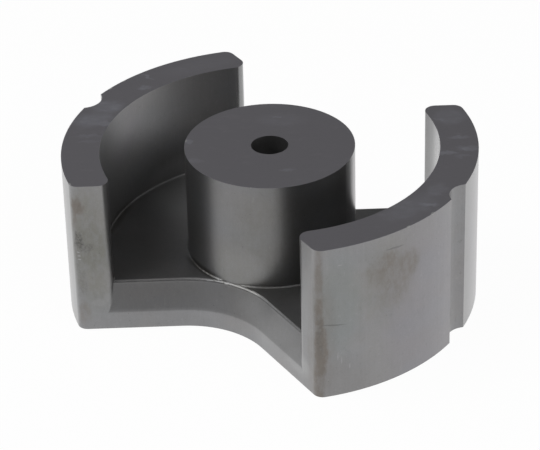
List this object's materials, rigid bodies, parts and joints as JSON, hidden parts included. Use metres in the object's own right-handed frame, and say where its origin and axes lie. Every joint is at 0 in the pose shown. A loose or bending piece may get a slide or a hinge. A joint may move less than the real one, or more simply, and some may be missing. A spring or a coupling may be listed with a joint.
{
  "type": "pm ferrite core half",
  "caption": "Half of a PM ferrite transformer core: a plate with a round bored post and curved outer legs around an open winding space, with wire openings at front and rear.",
  "frame": {"origin": "where the hole's axis meets the flat back face", "axes": "+Z along the hole from the back face towards the pole faces, X through both legs, wire openings facing -Y (front) and +Y (rear)"},
  "size_m": [0.0608, 0.0458, 0.0244],
  "materials": {
    "ferrite": "sintered dark grey ferrite, semi-matt, with ground pole faces"
  },
  "bodies": {
    "root": {"core_half": "ferrite"}
  },
  "joints": []
}
